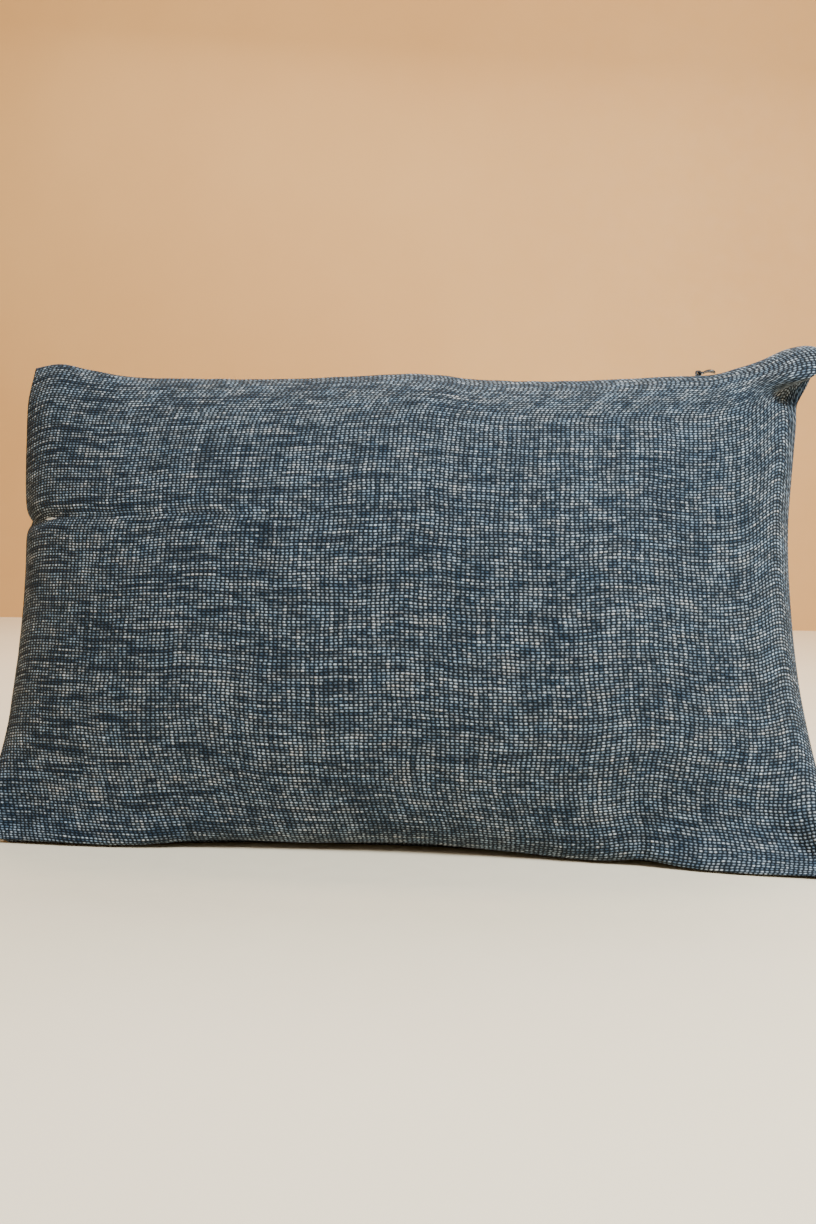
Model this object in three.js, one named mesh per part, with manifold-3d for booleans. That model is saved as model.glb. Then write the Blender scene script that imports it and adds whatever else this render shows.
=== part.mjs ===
// A lumbar support cushion standing on its long edge and leaning back a little.
// It is a loose cover of woven cloth, closed by a zip in its top seam, over a stitched inner pad
// that holds loose fibre. Everything is built in the cushion's own leaned frame, in millimetres:
// x across the width, y up the cushion, z out of the front face.
import * as THREE from 'three';
import { mergeVertices } from 'three/addons/utils/BufferGeometryUtils.js';
import Module from 'manifold-3d';

// Driving dimensions
const COVER_WIDTH = 600; // the flat cover, seam to seam
const COVER_HEIGHT = 400;
const FRONT_DEPTH = 66; // fullest height of each face over the seam plane
const BACK_DEPTH = 72;
const LEAN = THREE.MathUtils.degToRad(10);
const PRESS = 20; // how far the floor flattens the back of the lower edge
const SEAM_FORWARD = 22; // the lower seam's place in front of the middle
const SEAM_LIFT = 8; // and over the floor, halfway between the lower corners
const COVER_CLOTH = 1.2;
const CASING_CLOTH = 0.5;
const CLEARANCE = 0.4; // between one layer and the next
const THREAD_RADIUS = 0.2;
const SEAM_HALF_GAP = 0.5; // half the gap between two sewn edges, which the thread lies in
const ZIP_HALF_LENGTH = 235;
const ZIP_HALF_SLOT = 1.2; // half the gap between the cover's two edges over the zip
const ZIP_BELOW_EDGE = 12; // the coils' centre line below the top edge
const COIL_RADIUS = 0.9;

// The filled outline: the sides of a full cushion pull in between its corners
const HALF_WIDTH = 0.48 * COVER_WIDTH;
const TOP_EDGE = 0.4525 * COVER_HEIGHT;
const BOTTOM_EDGE = 0.475 * COVER_HEIGHT; // before the floor flattens it
const COLUMNS = 26;
const ROWS = 18;
const COLUMN_CROWDING = 0.35 * Math.PI; // larger values crowd the grid lines towards the edges
const ROW_CROWDING = 0.42 * Math.PI;
const EDGE_BULK = 3.5; // the turned-in cloth that keeps the seams and corners from being sharp
const EDGE_BULK_REACH = 8;
const SEAM_BEND_REACH = 22;

// The inner pad stops short of the cover's seams, and further below the zip
const NO_INSET = { side: 0, top: 0, bottom: 0, ears: 0 };
const PAD_INSET = { side: 9, top: 17, bottom: 3, ears: 0.5 };
const INSET_REACH = 45; // from the seam, over which an inset fades out
const CASING_OFFSET = COVER_CLOTH + CLEARANCE;
const FILL_OFFSET = CASING_OFFSET + CASING_CLOTH + CLEARANCE;
const LABEL = { length: 26, width: 5, thickness: 0.5, height: -60 };

// The zip's slider stands at its closed end, to the right, and its pull lies outwards
const ZIP_LINE = TOP_EDGE - ZIP_BELOW_EDGE;
const COIL_SPACING = 0.7 + COIL_RADIUS; // from the zip's middle to each coil's centre
const COIL_END = 221.5;
const STOP_LENGTH = 2.5;
const SLIDER_CENTRE = 216;
const SLIDER_LENGTH = 10;
const PULL_AXIS_HEIGHT = TOP_EDGE + 1.4; // just clear of the edge that the pull lies along
const PULL_LENGTH = 12.5;
const TAPE_THICKNESS = 0.6;

const wasm = await Module();
wasm.setup();

const material = (color, roughness, metalness = 0) =>
  new THREE.MeshStandardMaterial({ color, roughness, metalness });

const coverCloth = material(0x5f6f7d, 0.95);
const coverThread = material(0x3c4a58, 0.8);
const zipTape = material(0x39444f, 0.9);
const zipPlastic = material(0x2c3640, 0.5);
const zipMetal = material(0x4b4f54, 0.35, 0.9);
const casingCloth = material(0xe9e6df, 0.9);
const casingThread = material(0xf4f2ec, 0.8);
const labelCloth = material(0xf7f6f2, 0.7);
const fibre = material(0xf2f1ec, 1);

function mesh(name, geometry, surface) {
  const made = new THREE.Mesh(geometry, surface);
  made.name = name;
  return made;
}

// ---- The cushion's form ----

const crowded = (step, steps, crowding) =>
  Math.sin(crowding * ((2 * step) / steps - 1)) / Math.sin(crowding);
const columnAt = (i) => crowded(i, COLUMNS, COLUMN_CROWDING);
const rowAt = (j) => crowded(j, ROWS, ROW_CROWDING);

const swell = (x, centre, reach) => Math.exp(-(((x - centre) / reach) ** 2));

// The half width at height t, -1 at the lower corners and 1 at the upper ones
function halfWidth(t) {
  const cornerReach = t > 0 ? 8 : 14;
  return HALF_WIDTH + cornerReach * Math.abs(t) ** 3;
}

// The cover's upper corners stand up as ears, the right one higher
const earRise = (s) => (s > 0 ? 18 : 9) * Math.abs(s) ** 10;

// Between its ears the top edge has a low hump and a shallow dip, and it gives a little under the
// zip's pull
function topEdge(s) {
  const x = s * HALF_WIDTH;
  const dips = 5 * swell(x, 118, 62) + 1.1 * swell(x, 226, 16);
  return TOP_EDGE + earRise(s) + 0.7 * swell(x, -18, 45) - dips;
}

const floorHeight = BOTTOM_EDGE * Math.cos(LEAN) - PRESS; // of the frame's origin over the floor
const floorLine = (z) => -(floorHeight + z * Math.sin(LEAN)) / Math.cos(LEAN);

// The seam arches over the floor between the lower corners, and the front face ends at it.
// Behind the seam the back face reaches down to the floor, except in the corners.
function bottomEdge(s, side) {
  const seam = (floorHeight - 1 - SEAM_LIFT * (1 - s ** 2)) / Math.cos(LEAN);
  if (side > 0) return seam;
  return THREE.MathUtils.lerp(BOTTOM_EDGE, seam, THREE.MathUtils.smoothstep(Math.abs(s), 0.84, 1));
}

// How full a face is, 0 at the seams and 1 in the middle. The filling sinks towards the floor,
// most of all at the back, which the cushion leans on.
function fullness(s, t, side) {
  const across = (1 - Math.abs(s) ** 2.6) ** 0.6;
  if (t > 0) return across * (1 - t ** 2.2) ** 0.72;
  return across * (side > 0 ? (1 - Math.abs(t) ** 2.6) ** 0.7 : (1 - Math.abs(t) ** 3.2) ** 0.36);
}

// Near the floor the seam bends forward, where the lower edge is rolled under the face. Inside the
// seam the middle of the cushion returns to its plane.
function middlePlane(t, fromEdge) {
  const bend = THREE.MathUtils.smoothstep(-t, 0.45, 1);
  return SEAM_FORWARD * bend * Math.exp(-fromEdge / SEAM_BEND_REACH);
}

function seamHalfGap(x, t) {
  return t === 1 && Math.abs(x) < ZIP_HALF_LENGTH + 2 ? ZIP_HALF_SLOT : SEAM_HALF_GAP;
}

// A point of the cover's outer face; side is 1 on the front and -1 on the back
function skinPoint(s, t, side) {
  const x = s * halfWidth(t);
  const onSeam = Math.abs(s) === 1 || Math.abs(t) === 1;
  let y = t > 0 ? t * topEdge(s) : t * bottomEdge(s, onSeam ? 1 : side);
  let z;
  if (onSeam) {
    z = middlePlane(t, 0) + side * seamHalfGap(x, t);
  } else {
    const fromEdge = Math.min((1 - Math.abs(s)) * HALF_WIDTH, (1 - Math.abs(t)) * TOP_EDGE);
    const bulk = EDGE_BULK * (1 - Math.exp(-fromEdge / EDGE_BULK_REACH));
    const depth = side > 0 ? FRONT_DEPTH : BACK_DEPTH;
    const swelling = SEAM_HALF_GAP + bulk + depth * fullness(s, t, side);
    z = middlePlane(t, fromEdge) + side * swelling;
  }
  y = Math.max(y, floorLine(z));
  return new THREE.Vector3(x, y, z);
}

const DOWN = new THREE.Vector3(0, -Math.cos(LEAN), -Math.sin(LEAN));
const isFloor = (point) => point.y - floorLine(point.z) < 1e-6;

function gridOf(make) {
  const grid = [];
  for (let j = 0; j <= ROWS; j += 1) {
    const row = [];
    for (let i = 0; i <= COLUMNS; i += 1) row.push(make(i, j));
    grid.push(row);
  }
  return grid;
}

const onBorder = (i, j) => i === 0 || j === 0 || i === COLUMNS || j === ROWS;

// The way out of the cushion at a seam point, in the seam plane
function seamOutward(i, j) {
  const across = i === 0 ? -1 : i === COLUMNS ? 1 : 0;
  const up = j === 0 ? -1 : j === ROWS ? 1 : 0;
  return new THREE.Vector3(across, up, 0);
}

// How steeply the two skins leave the seam sets how far each inner layer's edge moves in
function seamStretch(i, j) {
  const innerI = THREE.MathUtils.clamp(i, 1, COLUMNS - 1);
  const innerJ = THREE.MathUtils.clamp(j, 1, ROWS - 1);
  const [front, back] = [1, -1].map((side) => {
    const inner = skinPoint(columnAt(innerI), rowAt(innerJ), side);
    inner.sub(skinPoint(columnAt(i), rowAt(j), side));
    return inner.length() / Math.abs(inner.z);
  });
  return Math.min((front + back) / 2, 2.2);
}

// The outer face of one side as a grid, with the way out at each of its points
function skin(side) {
  const points = gridOf((i, j) => skinPoint(columnAt(i), rowAt(j), side));
  const outward = gridOf((i, j) => {
    if (onBorder(i, j)) return seamOutward(i, j).multiplyScalar(seamStretch(i, j));
    const across = points[j][i + 1].clone().sub(points[j][i - 1]);
    const up = points[j + 1][i].clone().sub(points[j - 1][i]);
    const normal = across.cross(up).normalize().multiplyScalar(side);
    // On the floor each layer lies at its own full height over the one outside it
    return isFloor(points[j][i]) ? normal.divideScalar(Math.max(normal.dot(DOWN), 0.5)) : normal;
  });
  return { side, points, outward };
}

// A layer inside the skin: offset through the cloth, and drawn in from the cover's seams
function layer(face, offset, inset) {
  return gridOf((i, j) => {
    const point = face.points[j][i].clone().addScaledVector(face.outward[j][i], -offset);
    const s = columnAt(i);
    const t = rowAt(j);
    const fromSide = (1 - Math.abs(s)) * HALF_WIDTH;
    const fromEnd = (1 - Math.abs(t)) * TOP_EDGE;
    const insetEnd = t > 0 ? inset.top + inset.ears * earRise(s) : inset.bottom;
    point.x -= Math.sign(s) * inset.side * Math.max(0, 1 - fromSide / INSET_REACH);
    point.y -= Math.sign(t) * insetEnd * Math.max(0, 1 - fromEnd / INSET_REACH);
    if (onBorder(i, j)) {
      const drawnIn = Math.abs(s) === 1 ? Math.max(inset.side, insetEnd) : insetEnd;
      point.z += middlePlane(t, drawnIn) - middlePlane(t, 0);
    }
    return point;
  });
}

// ---- Turning grids into closed solids ----

class SolidBuilder {
  constructor() {
    this.positions = [];
    this.triangles = [];
  }

  addGrid(grid) {
    return grid.map((row) =>
      row.map((point) => {
        this.positions.push(point.x, point.y, point.z);
        return this.positions.length / 3 - 1;
      }),
    );
  }

  quad(a, b, c, d, flipped) {
    if (flipped) this.triangles.push(a, d, c, a, c, b);
    else this.triangles.push(a, b, c, a, c, d);
  }

  face(ids, flipped) {
    for (let j = 0; j < ROWS; j += 1) {
      for (let i = 0; i < COLUMNS; i += 1) {
        this.quad(ids[j][i], ids[j][i + 1], ids[j + 1][i + 1], ids[j + 1][i], flipped);
      }
    }
  }

  // The strip that joins the borders of two grids
  rim(outer, inner, flipped) {
    const border = borderSteps();
    border.forEach(([i, j], k) => {
      const [nextI, nextJ] = border[(k + 1) % border.length];
      this.quad(outer[j][i], inner[j][i], inner[nextJ][nextI], outer[nextJ][nextI], flipped);
    });
  }

  geometry() {
    const built = new THREE.BufferGeometry();
    built.setAttribute('position', new THREE.Float32BufferAttribute(this.positions, 3));
    built.setIndex(this.triangles);
    built.computeVertexNormals();
    return built;
  }
}

// The border of the grid, anticlockwise from the lower left corner as seen from the front
function borderSteps() {
  const steps = [];
  for (let i = 0; i < COLUMNS; i += 1) steps.push([i, 0]);
  for (let j = 0; j < ROWS; j += 1) steps.push([COLUMNS, j]);
  for (let i = COLUMNS; i > 0; i -= 1) steps.push([i, ROWS]);
  for (let j = ROWS; j > 0; j -= 1) steps.push([0, j]);
  return steps;
}

function shell(face, offset, thickness, inset) {
  const builder = new SolidBuilder();
  const outer = builder.addGrid(layer(face, offset, inset));
  const inner = builder.addGrid(layer(face, offset + thickness, inset));
  const isBack = face.side < 0;
  builder.face(outer, isBack);
  builder.face(inner, !isBack);
  builder.rim(outer, inner, isBack);
  return builder.geometry();
}

// The fibre fills the pad, so its front and back faces share one border in the seam plane
function fill(front, back) {
  const builder = new SolidBuilder();
  const frontGrid = layer(front, FILL_OFFSET, PAD_INSET);
  for (const [i, j] of borderSteps()) frontGrid[j][i].z -= SEAM_HALF_GAP;
  const frontIds = builder.addGrid(frontGrid);
  const backGrid = layer(back, FILL_OFFSET, PAD_INSET);
  const backIds = backGrid.map((row, j) =>
    row.map((point, i) => {
      if (onBorder(i, j)) return frontIds[j][i];
      builder.positions.push(point.x, point.y, point.z);
      return builder.positions.length / 3 - 1;
    }),
  );
  builder.face(frontIds, false);
  builder.face(backIds, true);
  return builder.geometry();
}

// ---- Threads, extruded tapes and cut metal ----

// A fine four-sided thread that passes through every one of its points
function threadAlong(points) {
  const builder = new SolidBuilder();
  const towardsFront = new THREE.Vector3(0, 0, THREAD_RADIUS);
  const rings = points.map((point, k) => {
    const before = points[Math.max(k - 1, 0)];
    const after = points[Math.min(k + 1, points.length - 1)];
    const sideways = after.clone().sub(before).cross(towardsFront).setLength(THREAD_RADIUS);
    const ring = [sideways, towardsFront, sideways.clone().negate(), towardsFront.clone().negate()];
    return ring.map((step) => point.clone().add(step));
  });
  const ids = builder.addGrid(rings);
  for (let k = 0; k + 1 < ids.length; k += 1) {
    for (let edge = 0; edge < 4; edge += 1) {
      const next = (edge + 1) % 4;
      builder.quad(ids[k][edge], ids[k][next], ids[k + 1][next], ids[k + 1][edge], true);
    }
  }
  builder.quad(...ids[0], false);
  builder.quad(...ids.at(-1), true);
  return builder.geometry();
}

// A stretch of seam thread along the border of a layer, halfway through the cloth's edge
function seamThread(front, back, offset, inset, steps) {
  const frontGrid = layer(front, offset, inset);
  const backGrid = layer(back, offset, inset);
  const points = steps.map(([i, j]) => frontGrid[j][i].clone().add(backGrid[j][i]).multiplyScalar(0.5));
  return threadAlong(points);
}

// A section in the z-y plane, drawn at the zip's middle, run along x from one end to the other
function along(outline, fromX, toX) {
  const shape = new THREE.Shape(outline.map(([z, y]) => new THREE.Vector2(-z, y)));
  const depth = toX - fromX;
  const geometry = new THREE.ExtrudeGeometry(shape, { depth, bevelEnabled: false, curveSegments: 8 });
  return geometry.rotateY(Math.PI / 2).translate(fromX, ZIP_LINE, 0);
}

// A flat shape in the x-y plane, centred on z = 0
function upright(shape, thickness) {
  const geometry = new THREE.ExtrudeGeometry(shape, {
    depth: thickness,
    bevelEnabled: false,
    curveSegments: 10,
  });
  return geometry.translate(0, 0, -thickness / 2);
}

// A shape drawn in plan, x along the zip and z across it, raised between two heights
function inPlan(shape, lowY, highY) {
  const depth = highY - lowY;
  const geometry = new THREE.ExtrudeGeometry(shape, { depth, bevelEnabled: false, curveSegments: 10 });
  return geometry.rotateX(-Math.PI / 2).translate(0, lowY, 0);
}

function solid(geometry) {
  geometry.deleteAttribute('normal');
  geometry.deleteAttribute('uv');
  const merged = mergeVertices(geometry, 1e-4);
  const built = new wasm.Mesh({
    numProp: 3,
    vertProperties: new Float32Array(merged.attributes.position.array),
    triVerts: new Uint32Array(merged.index.array),
  });
  return new wasm.Manifold(built);
}

function geometryOf(manifold) {
  const { vertProperties, triVerts } = manifold.getMesh();
  const built = new THREE.BufferGeometry();
  built.setAttribute('position', new THREE.BufferAttribute(vertProperties, 3));
  built.setIndex(new THREE.BufferAttribute(triVerts, 1));
  built.computeVertexNormals();
  return built;
}

function roundedRectangle(minX, minY, maxX, maxY, radius) {
  const shape = new THREE.Shape();
  shape.moveTo(minX + radius, minY);
  shape.lineTo(maxX - radius, minY);
  shape.absarc(maxX - radius, minY + radius, radius, -Math.PI / 2, 0);
  shape.lineTo(maxX, maxY - radius);
  shape.absarc(maxX - radius, maxY - radius, radius, 0, Math.PI / 2);
  shape.lineTo(minX + radius, maxY);
  shape.absarc(minX + radius, maxY - radius, radius, Math.PI / 2, Math.PI);
  shape.lineTo(minX, minY + radius);
  shape.absarc(minX + radius, minY + radius, radius, Math.PI, 1.5 * Math.PI);
  return shape;
}

// ---- The cover ----

function makeCover(front, back) {
  const cover = new THREE.Group();
  cover.add(mesh('cover_front_panel', shell(front, 0, COVER_CLOTH, NO_INSET), coverCloth));
  cover.add(mesh('cover_back_panel', shell(back, 0, COVER_CLOTH, NO_INSET), coverCloth));

  // The closing seam runs from one end of the zip round the sides and floor to the other
  const beyondZip = borderSteps().filter(([i, j]) => {
    const x = front.points[j][i].x;
    return j !== ROWS || Math.abs(x) > ZIP_HALF_LENGTH + 2;
  });
  const turn = beyondZip.findIndex(([i, j]) => j === ROWS && i < COLUMNS / 2);
  const run = [...beyondZip.slice(turn), ...beyondZip.slice(0, turn)];
  const thread = seamThread(front, back, COVER_CLOTH / 2, NO_INSET, run);
  cover.add(mesh('cover_seam_thread', thread, coverThread));
  return cover;
}

// A bar of close stitches holds the two edges together at each end of the zip
function zipEndTack(name, x) {
  const tack = new THREE.BoxGeometry(2, COVER_CLOTH, 2 * ZIP_HALF_SLOT - 0.7);
  const made = mesh(name, tack, coverThread);
  made.position.set(x, topEdge(x / HALF_WIDTH) - COVER_CLOTH, 0);
  return made;
}

// ---- The zip ----

// One tape: flat beside its coil, then bent down towards the inside of the cover
function tapeOutline(side) {
  const half = TAPE_THICKNESS / 2;
  const outline = [
    [2.8, -half],
    [5, -half],
    [10.5, -half - 4.3],
    [10.9, half - 4.5],
    [5.2, half],
    [2.8, half],
  ];
  return outline.map(([z, y]) => [side * z, y]);
}

function zipHalf(name, side) {
  const half = new THREE.Group();
  half.add(mesh(`zip_tape_${name}`, along(tapeOutline(side), -ZIP_HALF_LENGTH, ZIP_HALF_LENGTH), zipTape));

  const coil = new THREE.CylinderGeometry(COIL_RADIUS, COIL_RADIUS, 2 * COIL_END, 10);
  const coilMesh = mesh(`zip_coil_${name}`, coil.rotateZ(Math.PI / 2), zipPlastic);
  coilMesh.position.set(0, ZIP_LINE, side * COIL_SPACING);
  half.add(coilMesh);

  // The line of stitches along the tape, on its upper face near the free edge
  const thread = new THREE.CylinderGeometry(THREAD_RADIUS, THREAD_RADIUS, 2 * ZIP_HALF_LENGTH - 6, 6);
  const threadMesh = mesh(`zip_tape_thread_${name}`, thread.rotateZ(Math.PI / 2), coverThread);
  threadMesh.position.set(0, ZIP_LINE - 2.4, side * 9.4);
  half.add(threadMesh);
  return half;
}

function zipStop(name, side) {
  const outline = roundedRectangle(-2.6, -1.2, 2.6, 1.2, 0.5).getPoints(3).map((p) => [p.x, p.y]);
  const near = COIL_END + 0.3;
  const far = near + STOP_LENGTH;
  return mesh(name, along(outline, side > 0 ? near : -far, side > 0 ? far : -near), zipMetal);
}

// The slider's cheeks run above and below the coils and are joined between them by a thin web;
// its neck comes up through the slot and ends in the arch that the pull hangs from
function makeSlider() {
  const cheek = { inner: 1.3, outer: 2.4, half: 3.8, lip: 3.1, lipDepth: 0.6, web: 0.35 };
  const section = [];
  for (const up of [1, -1]) {
    const corner = [
      [-cheek.half, cheek.outer],
      [-cheek.half, cheek.inner - cheek.lipDepth],
      [-cheek.lip, cheek.inner - cheek.lipDepth],
      [-cheek.lip, cheek.inner],
      [-cheek.web, cheek.inner],
    ];
    const mirrored = corner.map(([z, y]) => [-z, y]).reverse();
    const half = [...corner, ...mirrored].map(([z, y]) => [z * up, y * up]);
    section.push(half);
  }
  // Upper half from the web's left side over the top to its right side, then the lower half
  const upper = section[0];
  const lower = section[1];
  const outline = [
    ...upper.slice(0, 5).reverse(),
    ...upper.slice(5).reverse(),
    ...lower.slice(0, 5).reverse(),
    ...lower.slice(5).reverse(),
  ];
  const start = SLIDER_CENTRE - SLIDER_LENGTH / 2;
  const end = SLIDER_CENTRE + SLIDER_LENGTH / 2;
  const body = solid(along(outline, start, end));

  // In plan the cheeks are a shield, wider at the nose that parts the coils
  const plan = new THREE.Shape();
  plan.moveTo(start, -3);
  plan.quadraticCurveTo(SLIDER_CENTRE, -3.2, end - 2.5, -3.8);
  plan.quadraticCurveTo(end, -3.6, end, -1.5);
  plan.lineTo(end, 1.5);
  plan.quadraticCurveTo(end, 3.6, end - 2.5, 3.8);
  plan.quadraticCurveTo(SLIDER_CENTRE, 3.2, start, 3);
  const trimmed = body.intersect(solid(inPlan(plan, ZIP_LINE - 4, ZIP_LINE + 4)));

  const neckShape = new THREE.Shape();
  const neckHalf = 2.2;
  const archTop = PULL_AXIS_HEIGHT + 1.9;
  neckShape.moveTo(SLIDER_CENTRE - neckHalf, ZIP_LINE + cheek.inner + 0.3);
  neckShape.lineTo(SLIDER_CENTRE + neckHalf, ZIP_LINE + cheek.inner + 0.3);
  neckShape.lineTo(SLIDER_CENTRE + neckHalf, archTop - 1.4);
  neckShape.absarc(SLIDER_CENTRE + neckHalf - 1.4, archTop - 1.4, 1.4, 0, Math.PI / 2);
  neckShape.absarc(SLIDER_CENTRE - neckHalf + 1.4, archTop - 1.4, 1.4, Math.PI / 2, Math.PI);
  const window = new THREE.Path();
  window.absarc(SLIDER_CENTRE, PULL_AXIS_HEIGHT, 0.95, 0, 2 * Math.PI, true);
  neckShape.holes.push(window);
  const neck = solid(upright(neckShape, 1.4));
  return mesh('zip_slider', geometryOf(trimmed.add(neck)), zipMetal);
}

// The pull is a pressed loop, slightly arched, whose cross bar turns in the slider's arch
function makePull() {
  const thickness = 0.9;
  const half = thickness / 2;
  const barX = SLIDER_CENTRE;
  const y = PULL_AXIS_HEIGHT;
  const side = new THREE.Shape();
  side.moveTo(barX - 0.5, y - half);
  side.lineTo(barX + 3.6, y - half);
  side.quadraticCurveTo(barX + 8, y + 2.4, barX + PULL_LENGTH, y - half + 0.3);
  side.lineTo(barX + PULL_LENGTH, y + half + 0.3);
  side.quadraticCurveTo(barX + 8, y + 3.6, barX + 3.6, y + half);
  side.lineTo(barX - 0.5, y + half);
  const strip = solid(upright(side, 6));

  const plan = roundedRectangle(barX - 0.5, -2.6, barX + PULL_LENGTH, 2.6, 2);
  const aroundArch = new THREE.Path(roundedRectangle(barX + 0.5, -1.2, barX + 4, 1.2, 0.4).getPoints(4));
  const fingerHole = new THREE.Path(roundedRectangle(barX + 5.6, -1.3, barX + 10.8, 1.3, 1.2).getPoints(6));
  plan.holes.push(aroundArch, fingerHole);
  const outline = solid(inPlan(plan, y - 2, y + 4));
  return mesh('zip_pull', geometryOf(strip.intersect(outline)), zipMetal);
}

function makeZip() {
  const zip = new THREE.Group();
  zip.add(zipHalf('front', 1));
  zip.add(zipHalf('back', -1));
  zip.add(zipStop('zip_stop_closed_end', 1));
  zip.add(zipStop('zip_stop_open_end', -1));
  zip.add(zipEndTack('zip_end_tack_left', -ZIP_HALF_LENGTH + 4));
  zip.add(zipEndTack('zip_end_tack_right', ZIP_HALF_LENGTH - 4));
  zip.add(makeSlider());
  zip.add(makePull());
  return zip;
}

// ---- The inner pad ----

function makePad(front, back) {
  const pad = new THREE.Group();
  pad.add(mesh('pad_casing_front', shell(front, CASING_OFFSET, CASING_CLOTH, PAD_INSET), casingCloth));
  pad.add(mesh('pad_casing_back', shell(back, CASING_OFFSET, CASING_CLOTH, PAD_INSET), casingCloth));
  pad.add(mesh('fibre_fill', fill(front, back), fibre));

  // Three sides are sewn by machine; the last, left of the middle of the floor edge, after filling
  const isClosing = ([i, j]) => j === 0 && i >= 8 && i <= 13;
  const border = borderSteps();
  const closing = border.filter(isClosing);
  const afterClosing = border.findLastIndex(isClosing) + 1;
  const rest = [...border.slice(afterClosing), ...border.slice(0, 8)];
  const middle = CASING_OFFSET + CASING_CLOTH / 2;
  pad.add(mesh('pad_seam_thread', seamThread(front, back, middle, PAD_INSET, rest), casingThread));
  pad.add(mesh('pad_closing_thread', seamThread(front, back, middle, PAD_INSET, closing), casingThread));
  return pad;
}

// A blank cloth label stands out of the pad's left seam
function makeLabel() {
  const label = new THREE.BoxGeometry(LABEL.width, LABEL.length, LABEL.thickness);
  const made = mesh('pad_label', label, labelCloth);
  const t = LABEL.height / bottomEdge(-1, 1);
  const edge = -halfWidth(t);
  made.position.set(edge + PAD_INSET.side - LABEL.width / 2 + 0.3, LABEL.height, middlePlane(t, 0));
  return made;
}

// ---- The whole cushion, leaned back on the floor ----

const front = skin(1);
const back = skin(-1);

const cushion = new THREE.Group();
cushion.add(makeCover(front, back));
cushion.add(makeZip());
cushion.add(makePad(front, back));
cushion.add(makeLabel());
cushion.rotation.x = Math.PI / 2 - LEAN;
cushion.position.z = floorHeight;

const group = new THREE.Group();
group.add(cushion);
group.updateMatrixWorld(true);
const box = new THREE.Box3().setFromObject(group, true);
group.position.set(-(box.min.x + box.max.x) / 2, -(box.min.y + box.max.y) / 2, 0);

export default group;
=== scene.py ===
import math

import bpy
import numpy as np
from mathutils import Matrix, Vector


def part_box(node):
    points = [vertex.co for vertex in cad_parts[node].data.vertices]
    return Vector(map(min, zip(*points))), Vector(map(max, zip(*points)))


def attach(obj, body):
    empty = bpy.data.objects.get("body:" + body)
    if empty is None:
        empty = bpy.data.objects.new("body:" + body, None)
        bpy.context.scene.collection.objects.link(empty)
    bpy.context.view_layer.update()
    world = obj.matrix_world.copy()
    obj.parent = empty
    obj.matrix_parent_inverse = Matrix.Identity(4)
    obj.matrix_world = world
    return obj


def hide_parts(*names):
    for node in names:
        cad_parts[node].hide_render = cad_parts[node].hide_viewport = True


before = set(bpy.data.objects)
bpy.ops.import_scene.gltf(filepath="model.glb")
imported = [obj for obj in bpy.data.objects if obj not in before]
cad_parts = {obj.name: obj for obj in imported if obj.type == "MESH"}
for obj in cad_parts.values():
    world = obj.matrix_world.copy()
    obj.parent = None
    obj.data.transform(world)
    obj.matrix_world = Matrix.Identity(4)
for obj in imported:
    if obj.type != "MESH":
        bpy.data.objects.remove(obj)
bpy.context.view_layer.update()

# The cushion's own frame, as in the CAD: x across, y up the leaned cushion, z out of its front face.
# Every length is in metres.
LEAN = math.radians(10)
HALF_WIDTH = 0.288
TOP_EDGE = 0.181
BOTTOM_EDGE = 0.19
FRONT_DEPTH = 0.066
BACK_DEPTH = 0.072
FLAT_WIDTH = 0.6
FLAT_HEIGHT = 0.4
COVER_CLOTH = 0.0012
CASING_CLOTH = 0.0005
EDGE_BULK = 0.0035
EDGE_BULK_REACH = 0.008
SEAM_HALF_GAP = 0.00035
ZIP_HALF_LENGTH = 0.235
ZIP_HALF_SLOT = 0.0012
ZIP_LINE = TOP_EDGE - 0.012
COIL_RADIUS = 0.0009
COIL_SPACING = 0.0007 + COIL_RADIUS
COIL_END = 0.2215
COIL_PITCH = 0.0015
COIL_WIRE = 0.00024
PAD_OFFSET = COVER_CLOTH + 0.0008
FILL_OFFSET = PAD_OFFSET + CASING_CLOTH + 0.0008
COLUMNS = 260
ROWS = 176
CROWDING = 0.42 * math.pi
SEAM_GROOVE = 0.0016
SEAM_GROOVE_REACH = 0.0024
ZIP_GROOVE = 0.0024
ZIP_GROOVE_REACH = 0.0042
PAD_SIDE_INSET = 0.009
PAD_TOP_INSET = 0.017
PAD_LOW_INSET = 0.004
FOLDING_FRAMES = 24
FOLD_SPREAD = 60
FOLD_LIMIT = 0.003
PINCH_HEIGHT = 0.345
PINCH_REACH = 0.03
PINCH_DEPTH = 0.0062
PUCKER_DEPTH = 0.0011
SEAM_FORWARD_REACH = 0.022
EAR_ROOT = (0.252, 0.163)
EAR_TIP = (0.303, 0.1965)
EAR_RIDGE = 0.019
EAR_VALLEY = 0.013
EAR_HANG = 0.75
THREAD_RADIUS = 0.0002
TACK_PLACE = 0.231

# The filled outline seen from the front: (t, half width) up each side, and (s, height) along the top
LEFT_SIDE = [
    (-1, 0.288), (-0.86, 0.2965), (-0.7, 0.2985), (-0.48, 0.297), (-0.18, 0.2925), (0.17, 0.291),
    (0.42, 0.294), (0.66, 0.2965), (0.87, 0.2975), (1, 0.294),
]
RIGHT_SIDE = [
    (-1, 0.302), (-0.8, 0.3015), (-0.54, 0.297), (-0.3, 0.289), (0, 0.283), (0.33, 0.281),
    (0.58, 0.285), (0.71, 0.2875), (0.79, 0.2888), (0.86, 0.2958), (0.93, 0.302), (1, 0.3065),
]
TOP_SIDE = [
    (-1, 0.189), (-0.93, 0.1925), (-0.85, 0.188), (-0.74, 0.183), (-0.56, 0.181), (-0.29, 0.1805),
    (-0.12, 0.1825), (0, 0.1838), (0.08, 0.1828), (0.18, 0.1795), (0.34, 0.178), (0.5, 0.1795),
    (0.63, 0.1818), (0.76, 0.1843), (0.85, 0.1928), (0.92, 0.2022), (0.97, 0.2035), (1, 0.2),
]
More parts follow.
